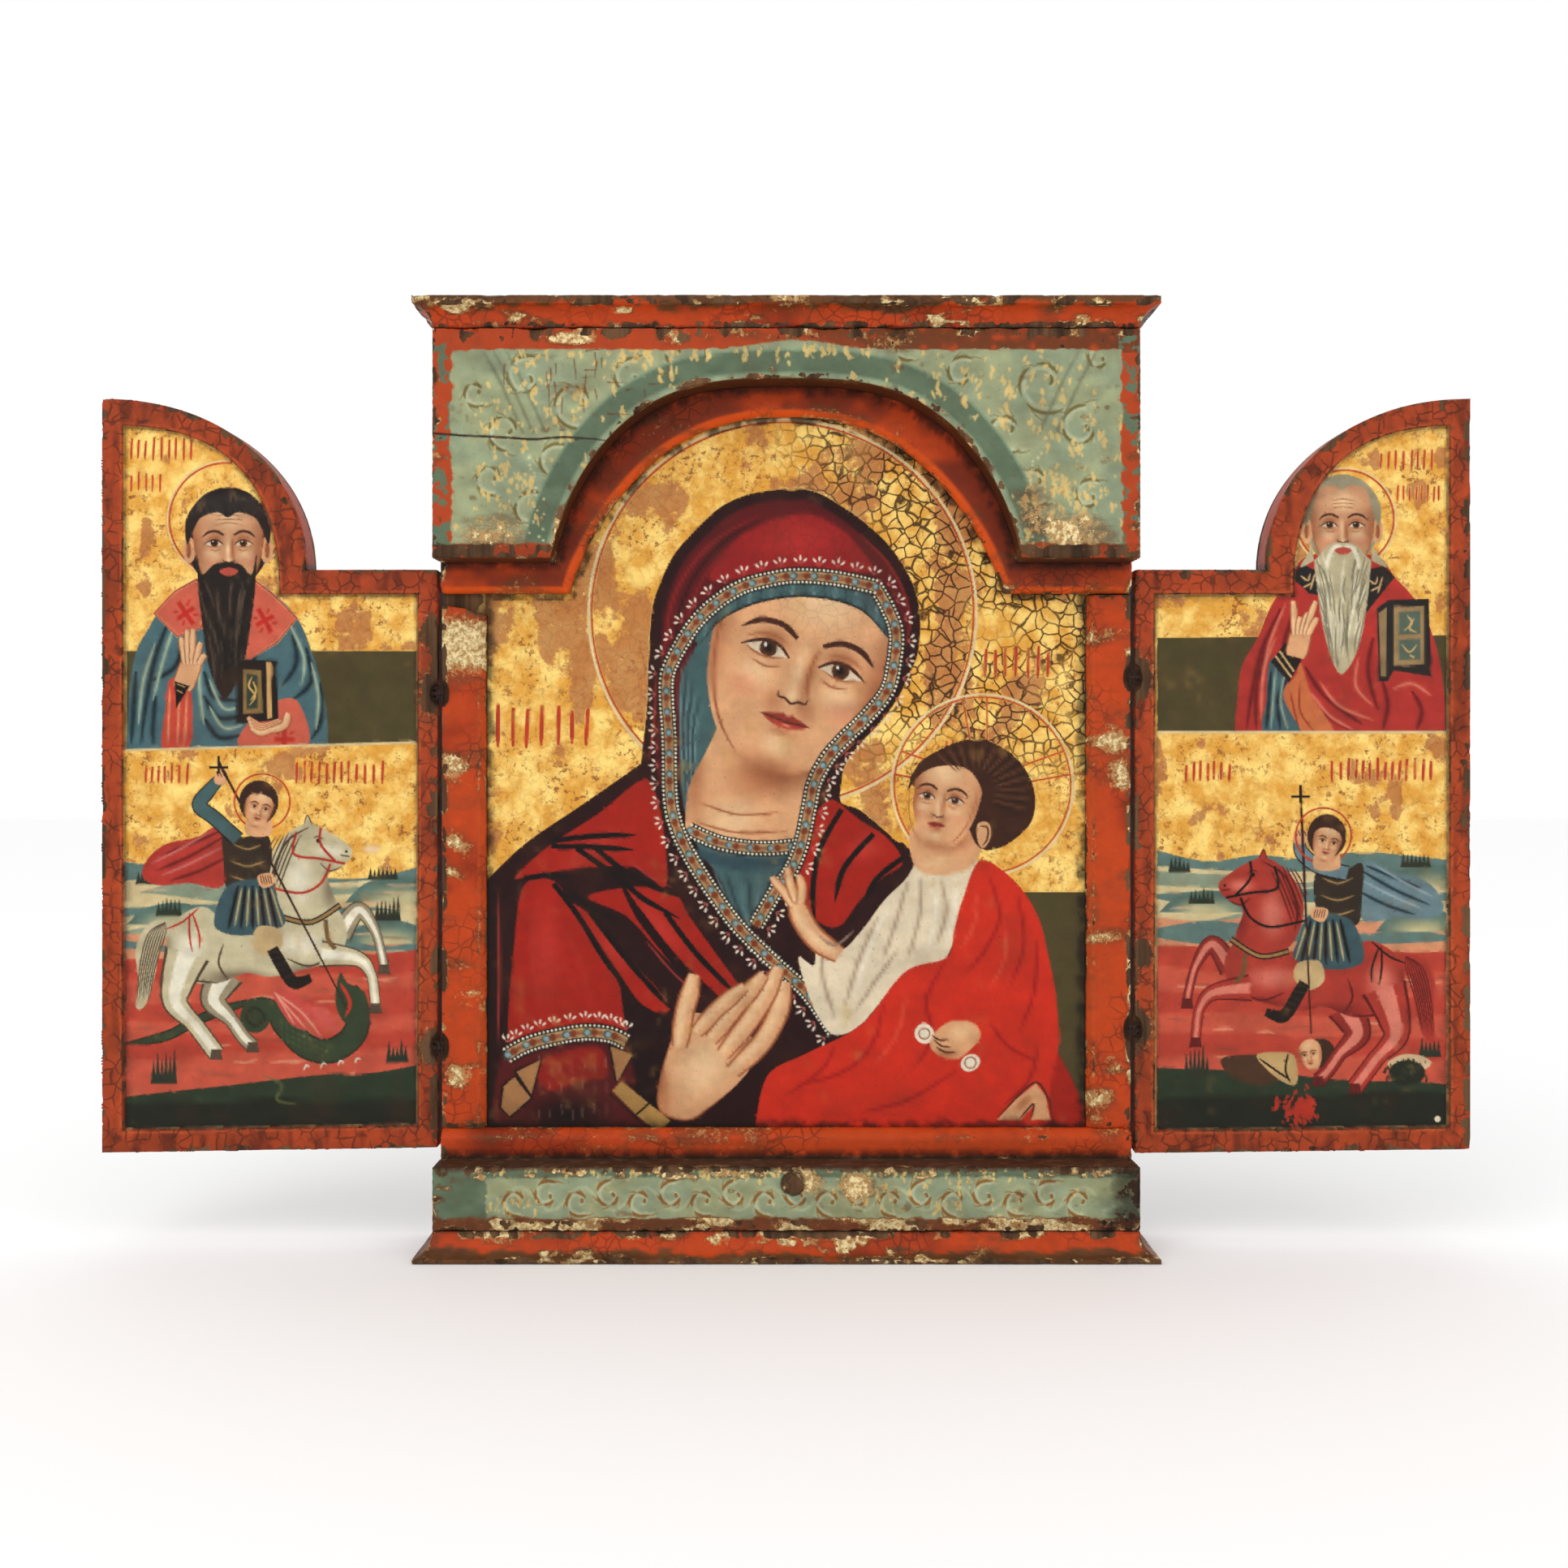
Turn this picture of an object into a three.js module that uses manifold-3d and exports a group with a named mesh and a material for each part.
// A small painted wooden triptych: an arched icon case with two hinged wings, shown open.
// Millimetres. +X is the viewer's right, +Y points to the back, +Z is up.
// The origin is on the underside of the foot, in the plane of the stiles' front faces.

import * as THREE from 'three';
import { mergeVertices } from 'three/addons/utils/BufferGeometryUtils.js';
import Module from 'manifold-3d';

const wasm = await Module();
wasm.setup();

// Case, from the back forward
const caseWidth = 283;
const panelThickness = 16;
const stileThickness = 4;
const stileWidth = 18.4;
const stileTopGap = { left: 4, right: 0.5 };
const stepProud = 2.5; // how far the arch's rim and the rail stand in front of the stiles
const memberBevel = 3; // width of the slope on the inner edge of stiles, rim and rail

// Case, from the bottom up
const mouldingHeight = 11.5;
const mouldingOverhang = 7;
const footLip = 2;
const corniceLip = 3.6;
const flareSegments = 5;
const baseHeight = 25.5;
const railHeight = 11.4;
const stileRun = 219.6; // from the rail to the rim of the arch
const rimWidth = 12.2; // of the rim below the arch block's shoulders
const crownRimWidth = 11.4; // of the rim at the top of the arch
const archRise = 71.9;
const crownHeight = 20;

// Arch, as the curve |x / halfWidth|^across + |z / rise|^up = 1
const archHalfWidth = 94;
const archPower = { across: 3, up: 1.4 };
const rimHalfWidth = 89;
const rimPower = { across: 2.4, up: 1.25 };
const archSegments = 28;

// Wings
const wingThickness = 18;
const wingWidth = 138;
const edgeGap = 1.6; // between the case's side and an open wing
const seatClearance = 0.5; // between a closed wing and the rim
const ledgeClearance = { left: { hinge: 3.4, free: 1.2 }, right: { hinge: 1, free: 2.6 } };
const shoulderClearance = 2.3;
const crownClearance = 3.9;
const swingClearance = 2.9; // beside the arch block's corner as a wing swings past it
const wingPower = { across: 2.1, up: 2.1 };
const wingSegments = 16;
const fieldBorder = { free: 9.6, hinge: 9, bottom: 10, shoulder: 11, arch: 12 };
const fieldPower = { across: 2.7, up: 2.4 };
const fieldDepth = 1.4;
const fieldBevel = 1;

// Hinges: linked wire staples, one eye through the other
const wireRadius = 0.9;
const wireSides = 8;
const bendRadius = 1.3; // of the wire's centre line where a leg turns to lie along the back
const eyeRadius = 2.4; // of the wire's centre line
const eyeSegments = 11;
const legSpacing = 1.94;
const clenchLength = 7;
const wireClearance = 0.35;
const grooveClearance = 0.7;
const holeSides = 12;
const notchHeight = 13;
const notchClearance = 0.9;
const notchSides = 12;
const hingeAboveLedge = { left: 45, right: 52 };
const hingeBelowShoulder = { left: 51, right: 44.4 };

// Peg of a lost turn button, in the middle of the base
const pegRadius = 4.4;
const pegLength = 8;
const pegProud = 1;
const pegBelowLedge = 6.5;
const pegOffCentre = 2.6;
const pegClearance = 0.3;
const pegSides = 16;

// How far a cutting shape carries on past the face that it cuts
const cutOvershoot = 1;

// Levels and planes that follow from the sizes above
const halfWidth = caseWidth / 2;
const panelFront = stileThickness;
const caseBack = panelFront + panelThickness;
const stepFront = -stepProud;
const caseFront = stepFront - wingThickness;
const baseBottom = mouldingHeight;
const ledge = baseBottom + baseHeight;
const railTop = ledge + railHeight;
const rimBottom = railTop + stileRun;
const blockBottom = rimBottom + rimWidth;
const archTop = blockBottom + archRise;
const blockTop = archTop + crownHeight;
const pivotX = halfWidth + edgeGap / 2;
const pivotY = (stepFront - seatClearance) / 2;
const wingShoulder = blockBottom - shoulderClearance;
const wingTop = archTop - crownClearance;
const swingReach = Math.hypot(pivotX - archHalfWidth, caseFront - pivotY) + swingClearance;
const wingArchWidth = edgeGap / 2 + wingWidth - swingReach;

const paint = {
  vermilion: new THREE.MeshStandardMaterial({ color: 0xb8401c, roughness: 0.55, metalness: 0 }),
  green: new THREE.MeshStandardMaterial({ color: 0x8fa384, roughness: 0.6, metalness: 0 }),
  gilded: new THREE.MeshStandardMaterial({ color: 0xc9993f, roughness: 0.4, metalness: 0.3 }),
  wood: new THREE.MeshStandardMaterial({ color: 0x5d3a22, roughness: 0.8, metalness: 0 }),
  iron: new THREE.MeshStandardMaterial({ color: 0x2b2522, roughness: 0.6, metalness: 0.8 }),
};

function toSolid(geometry) {
  const bare = geometry.clone();
  for (const name of Object.keys(bare.attributes)) {
    if (name !== 'position') {
      bare.deleteAttribute(name);
    }
  }
  const merged = mergeVertices(bare, 1e-4);
  return new wasm.Manifold(new wasm.Mesh({
    numProp: 3,
    vertProperties: new Float32Array(merged.attributes.position.array),
    triVerts: new Uint32Array(merged.index.array),
  }));
}

function toGeometry(solid) {
  const mesh = solid.getMesh();
  const geometry = new THREE.BufferGeometry();
  geometry.setAttribute('position', new THREE.BufferAttribute(new Float32Array(mesh.vertProperties), 3));
  geometry.setIndex(new THREE.BufferAttribute(new Uint32Array(mesh.triVerts), 1));
  geometry.computeVertexNormals();
  return geometry;
}

function cut(geometry, ...tools) {
  let solid = toSolid(geometry);
  for (const tool of tools) {
    solid = solid.subtract(toSolid(tool));
  }
  return toGeometry(solid);
}

function join(geometry, other) {
  return toGeometry(toSolid(geometry).add(toSolid(other)));
}

// A solid through flat sections, each { y, points } with points as [x, z] and as many points in each.
function loft(sections) {
  const toVector = ([x, z]) => new THREE.Vector2(x, z);
  const clockwise = THREE.ShapeUtils.isClockWise(sections[0].points.map(toVector));
  const outlines = sections.map(({ points }) => (clockwise ? [...points].reverse() : points));
  const position = outlines.flatMap((points, s) => points.flatMap(([x, z]) => [x, sections[s].y, z]));
  const count = outlines[0].length;
  const index = [];
  for (let s = 0; s + 1 < outlines.length; s += 1) {
    for (let i = 0; i < count; i += 1) {
      const a = s * count + i;
      const b = s * count + ((i + 1) % count);
      index.push(a, b + count, b, a, a + count, b + count);
    }
  }
  const last = (outlines.length - 1) * count;
  for (const [a, b, c] of THREE.ShapeUtils.triangulateShape(outlines[0].map(toVector), [])) {
    index.push(a, b, c);
  }
  for (const [a, b, c] of THREE.ShapeUtils.triangulateShape(outlines.at(-1).map(toVector), [])) {
    index.push(last + a, last + c, last + b);
  }
  const geometry = new THREE.BufferGeometry();
  geometry.setAttribute('position', new THREE.Float32BufferAttribute(position, 3));
  geometry.setIndex(index);
  return flipIfInsideOut(geometry);
}

function flipIfInsideOut(geometry) {
  const p = geometry.attributes.position;
  const index = geometry.index.array;
  const corner = (i) => new THREE.Vector3().fromBufferAttribute(p, index[i]);
  let volume = 0;
  for (let i = 0; i < index.length; i += 3) {
    volume += corner(i).dot(corner(i + 1).cross(corner(i + 2)));
  }
  if (volume < 0) {
    for (let i = 0; i < index.length; i += 3) {
      [index[i + 1], index[i + 2]] = [index[i + 2], index[i + 1]];
    }
  }
  return geometry;
}

function box(x0, x1, y0, y1, z0, z1) {
  const geometry = new THREE.BoxGeometry(x1 - x0, y1 - y0, z1 - z0);
  return geometry.translate((x0 + x1) / 2, (y0 + y1) / 2, (z0 + z1) / 2);
}

// Quarter of the arch curve from its foot (at angle 0) to `endAngle`, as [x, z] from its centre.
function archQuarter(reach, rise, power, segments, endAngle = Math.PI / 2) {
  const points = [];
  for (let i = 0; i <= segments; i += 1) {
    const angle = (endAngle * i) / segments;
    const x = reach * Math.max(Math.cos(angle), 0) ** (2 / power.across);
    const z = rise * Math.sin(angle) ** (2 / power.up);
    points.push([i === segments && endAngle === Math.PI / 2 ? 0 : x, z]);
  }
  return points;
}

// Front outline of a layer of the arch block, whose lower edge is shoulder, arch, shoulder.
function archLayer(reach, bottom, top, power) {
  const quarter = archQuarter(reach, top - bottom, power, archSegments / 2);
  const right = quarter.map(([x, z]) => [x, bottom + z]);
  const left = right.slice(0, -1).reverse().map(([x, z]) => [-x, z]);
  return [
    [halfWidth, blockTop], [halfWidth, bottom], ...right, ...left,
    [-halfWidth, bottom], [-halfWidth, blockTop],
  ];
}

function makeArchBlock() {
  const rimTop = archTop - crownRimWidth;
  const rim = archLayer(rimHalfWidth, rimBottom, rimTop, rimPower);
  const rimFront = archLayer(
    rimHalfWidth + memberBevel, rimBottom + memberBevel, rimTop + memberBevel, rimPower);
  const front = archLayer(archHalfWidth, blockBottom, archTop, archPower);
  const bevelBack = stepFront + memberBevel;
  const step = loft([
    { y: stepFront, points: rimFront },
    { y: bevelBack, points: rim },
    { y: panelFront, points: rim },
  ]);
  const overlap = (bevelBack + panelFront) / 2;
  return join(step, loft([{ y: caseFront, points: front }, { y: overlap, points: front }]));
}

// A moulded board that flares out on its front and both sides. Its square edge, the lip, is
// `lip` high, and the flare is hollow.
function mouldedBoard(bottom, lip, lipAtTop) {
  const flare = mouldingHeight - lip;
  const profile = [];
  for (let i = 0; i <= flareSegments; i += 1) {
    const angle = (Math.PI / 2) * (i / flareSegments);
    profile.push([mouldingOverhang * (1 - Math.cos(angle)), flare * Math.sin(angle)]);
  }
  profile.push([mouldingOverhang, mouldingHeight]);
  const sections = profile.map(([out, up]) => {
    const level = lipAtTop ? up : mouldingHeight - up;
    return { level, out };
  });
  const plan = ({ out }) => [
    [-halfWidth - out, caseBack], [-halfWidth - out, caseFront - out],
    [halfWidth + out, caseFront - out], [halfWidth + out, caseBack],
  ];
  // Lofted along depth, then stood up, so that the sections stack in height.
  const board = loft(sections.map((s) => ({ y: s.level, points: plan(s) })));
  const p = board.attributes.position;
  for (let i = 0; i < p.count; i += 1) {
    p.setXYZ(i, p.getX(i), p.getZ(i), bottom + p.getY(i));
  }
  return flipIfInsideOut(board);
}

function makeBase() {
  const bevelBack = stepFront + memberBevel;
  const profile = [
    [caseFront, baseBottom], [panelFront, baseBottom], [panelFront, railTop],
    [bevelBack, railTop], [stepFront, railTop - memberBevel], [stepFront, ledge],
    [caseFront, ledge],
  ];
  const shape = new THREE.Shape(profile.map(([y, z]) => new THREE.Vector2(y, z)));
  const base = new THREE.ExtrudeGeometry(shape, { depth: caseWidth, bevelEnabled: false });
  // The profile's plane becomes YZ and the extrusion runs along X.
  base.applyMatrix4(new THREE.Matrix4().set(
    0, 0, 1, -halfWidth,
    1, 0, 0, 0,
    0, 1, 0, 0,
    0, 0, 0, 1,
  ));
  const socketDepth = pegLength - pegProud + pegClearance;
  return cut(base, pegCylinder(pegRadius + pegClearance, caseFront - cutOvershoot, caseFront + socketDepth));
}

function pegCylinder(radius, front, back) {
  const geometry = new THREE.CylinderGeometry(radius, radius, back - front, pegSides);
  return geometry.translate(pegOffCentre, (front + back) / 2, ledge - pegBelowLedge);
}

function hingeLevels(side) {
  return [ledge + hingeAboveLedge[side], wingShoulder - hingeBelowShoulder[side]];
}

// Direction from the pivot into the wood, seen from above: `into` is -1 for the case, 1 for a wing
// on the right, and the other way round on the left.
function legDirection(into) {
  return new THREE.Vector3(into, 1, 0).normalize();
}

function wireHole(start, direction, length) {
  const radius = (legSpacing / 2 + wireRadius + wireClearance) / Math.cos(Math.PI / holeSides);
  const hole = new THREE.CylinderGeometry(radius, radius, length, holeSides);
  hole.translate(0, length / 2, 0);
  const turn = new THREE.Quaternion().setFromUnitVectors(new THREE.Vector3(0, 1, 0), direction);
  return hole.applyQuaternion(turn).translate(start.x, start.y, start.z);
}

// Scoop in an arris, around a staple's eye.
function notch(centre) {
  const radius = eyeRadius + wireRadius + notchClearance;
  const scoop = new THREE.SphereGeometry(1, notchSides, notchSides / 2);
  scoop.rotateX(Math.PI / 2);
  scoop.scale(radius, radius, notchHeight / 2);
  return scoop.translate(centre.x, centre.y, centre.z);
}

// Groove in a back face, for a staple's clenched ends.
function clenchGroove(centre, back) {
  const reach = legSpacing / 2 + clenchLength + grooveClearance;
  const half = legSpacing / 2 + wireRadius + grooveClearance;
  return box(
    centre.x - half, centre.x + half, clenchLevel(back) - wireRadius - grooveClearance,
    back + cutOvershoot, centre.z - reach, centre.z + reach);
}

function clenchLevel(back) {
  return back - wireRadius - legSpacing / 2;
}

// Everything that one staple needs: where its eye is, which way its legs go and how far.
function stapleFrame(eye, into, back) {
  const direction = legDirection(into);
  const length = (clenchLevel(back) - eye.y) / direction.y;
  return { eye, direction, length, end: eye.clone().addScaledVector(direction, length) };
}

function woodTools({ eye, direction, length, end }, back) {
  return [notch(eye), wireHole(eye, direction, length), clenchGroove(end, back)];
}

// A wire along `points`, closed at both ends. It starts upright or hanging.
function wire(points) {
  const tangents = points.map((_, i) => {
    const from = points[Math.max(i - 1, 0)];
    const to = points[Math.min(i + 1, points.length - 1)];
    return to.clone().sub(from).normalize();
  });
  const position = [];
  const normal = new THREE.Vector3(1, 0, 0);
  points.forEach((point, i) => {
    const tangent = tangents[i];
    normal.addScaledVector(tangent, -normal.dot(tangent)).normalize();
    const binormal = tangent.clone().cross(normal);
    for (let k = 0; k < wireSides; k += 1) {
      const angle = (2 * Math.PI * k) / wireSides;
      const p = point.clone()
        .addScaledVector(normal, wireRadius * Math.cos(angle))
        .addScaledVector(binormal, wireRadius * Math.sin(angle));
      position.push(p.x, p.y, p.z);
    }
  });
  const index = [];
  const rings = points.length;
  for (let r = 0; r + 1 < rings; r += 1) {
    for (let k = 0; k < wireSides; k += 1) {
      const [a, b] = [r * wireSides + k, r * wireSides + ((k + 1) % wireSides)];
      index.push(a, b, b + wireSides, a, b + wireSides, a + wireSides);
    }
  }
  const last = (rings - 1) * wireSides;
  for (let k = 1; k + 1 < wireSides; k += 1) {
    index.push(0, k + 1, k, last, last + k, last + k + 1);
  }
  const geometry = new THREE.BufferGeometry();
  geometry.setAttribute('position', new THREE.Float32BufferAttribute(position, 3));
  geometry.setIndex(index);
  return flipIfInsideOut(geometry);
}

// A staple: clenched end, leg, eye, leg, clenched end. The eye lies level or stands upright.
function staple({ eye, direction, length }, level) {
  const across = level
    ? new THREE.Vector3(-direction.y, direction.x, 0)
    : new THREE.Vector3(0, 0, 1);
  const at = (along, aside, up = 0) => eye.clone()
    .addScaledVector(direction, along).addScaledVector(across, aside).add(new THREE.Vector3(0, 0, up));
  const half = legSpacing / 2;
  const open = Math.asin(half / eyeRadius);
  const clench = (sign) => [
    at(length, sign * half, sign * clenchLength),
    at(length, sign * half, sign * bendRadius),
    at(length - bendRadius, sign * half),
  ];
  const loop = [];
  for (let i = 0; i <= eyeSegments; i += 1) {
    const angle = open + (2 * (Math.PI - open) * i) / eyeSegments;
    loop.push(at(eyeRadius * Math.cos(angle), eyeRadius * Math.sin(angle)));
  }
  return wire([...clench(1), ...loop, ...clench(-1).reverse()]);
}

// The case's staples have their eyes level, round the wings' upright wires.
function caseStapleFrame(side, level) {
  const s = side === 'right' ? 1 : -1;
  return stapleFrame(new THREE.Vector3(s * pivotX, pivotY, level), -s, caseBack);
}

// A wing's staples, in the wing's own frame with the pivot at x = 0, y = 0. The wire of the eye
// itself stands on the pivot line, so the eye's centre is one eye radius towards the wing.
function wingStapleFrame(side, level) {
  const s = side === 'right' ? 1 : -1;
  const eye = legDirection(s).multiplyScalar(eyeRadius).setZ(level);
  return stapleFrame(eye, s, wingThickness - pivotY);
}

// Outline of a wing's front, or of its painted field with `inset` borders, as [x, z] with x from
// the wing's free edge towards its hinge. `power` shapes its arch.
function wingOutline(side, inset, power) {
  const clearance = ledgeClearance[side];
  const slope = (clearance.hinge - clearance.free) / wingWidth;
  const bottomAt = (x) => ledge + clearance.free + slope * x + inset.bottom;
  const hingeEdge = wingWidth - inset.hinge;
  const shoulder = wingShoulder - inset.shoulder;
  const reach = wingArchWidth - inset.arch;
  const rise = wingTop - inset.arch - shoulder;
  const endAngle = Math.acos((inset.free / reach) ** (power.across / 2));
  const arch = archQuarter(reach, rise, power, wingSegments, endAngle);
  return [
    [inset.free, bottomAt(inset.free)], [hingeEdge, bottomAt(hingeEdge)], [hingeEdge, shoulder],
    ...arch.map(([x, z]) => [x, shoulder + z]),
  ];
}

function wingSolid(side) {
  const s = side === 'right' ? 1 : -1;
  const place = (outline) => outline.map(([x, z]) => [s * (edgeGap / 2 + wingWidth - x), z]);
  const front = -pivotY;
  const back = front + wingThickness;
  const none = { free: 0, hinge: 0, bottom: 0, shoulder: 0, arch: 0 };
  const outline = place(wingOutline(side, none, wingPower));
  const board = loft([{ y: front, points: outline }, { y: back, points: outline }]);
  // The field's sides slope, and the cutter carries on past the front face.
  const bordersAt = (spread) => Object.fromEntries(
    Object.entries(fieldBorder).map(([name, width]) => [name, width - spread]));
  const frontSpread = fieldBevel * (1 + cutOvershoot / fieldDepth);
  const field = loft([
    { y: front - cutOvershoot, points: place(wingOutline(side, bordersAt(frontSpread), fieldPower)) },
    { y: front + fieldDepth, points: place(wingOutline(side, bordersAt(0), fieldPower)) },
  ]);
  const tools = hingeLevels(side).flatMap((level) => woodTools(wingStapleFrame(side, level), back));
  return cut(board, field, ...tools);
}

function stileSolid(side) {
  const s = side === 'right' ? 1 : -1;
  const inner = halfWidth - stileWidth;
  const profile = [
    [s * halfWidth, 0], [s * halfWidth, panelFront], [s * inner, panelFront],
    [s * inner, memberBevel], [s * (inner + memberBevel), 0],
  ];
  const shape = new THREE.Shape(profile.map(([x, y]) => new THREE.Vector2(x, y)));
  const height = stileRun - stileTopGap[side];
  const stile = new THREE.ExtrudeGeometry(shape, { depth: height, bevelEnabled: false });
  stile.translate(0, 0, railTop);
  return cut(stile, ...caseTools(side));
}

function caseTools(side) {
  return hingeLevels(side).flatMap((level) => woodTools(caseStapleFrame(side, level), caseBack));
}

function makePanel() {
  const panel = box(-halfWidth, halfWidth, panelFront, caseBack, baseBottom, blockTop);
  return cut(panel, ...caseTools('left'), ...caseTools('right'));
}

const triptych = new THREE.Group();

function addPiece(parent, name, geometry, material) {
  const mesh = new THREE.Mesh(geometry, material);
  mesh.name = name;
  parent.add(mesh);
}

addPiece(triptych, 'icon_panel', makePanel(), paint.gilded);
addPiece(triptych, 'arch_block', makeArchBlock(), paint.green);
addPiece(triptych, 'base_block', makeBase(), paint.green);
addPiece(triptych, 'cornice', mouldedBoard(blockTop, corniceLip, true), paint.vermilion);
addPiece(triptych, 'foot_board', mouldedBoard(0, footLip, false), paint.vermilion);
addPiece(triptych, 'button_peg',
  pegCylinder(pegRadius, caseFront - pegProud, caseFront + pegLength - pegProud), paint.wood);

for (const side of ['left', 'right']) {
  addPiece(triptych, `${side}_stile`, stileSolid(side), paint.vermilion);
  const wing = new THREE.Group();
  wing.position.set(side === 'right' ? pivotX : -pivotX, pivotY, 0);
  triptych.add(wing);
  addPiece(wing, `${side}_wing`, wingSolid(side), paint.vermilion);
  hingeLevels(side).forEach((level, i) => {
    const place = ['lower', 'upper'][i];
    const fixed = staple(caseStapleFrame(side, level), true);
    addPiece(triptych, `${side}_${place}_case_staple`, fixed, paint.iron);
    const moving = staple(wingStapleFrame(side, level), false);
    addPiece(wing, `${side}_${place}_wing_staple`, moving, paint.iron);
  });
}

export default triptych;
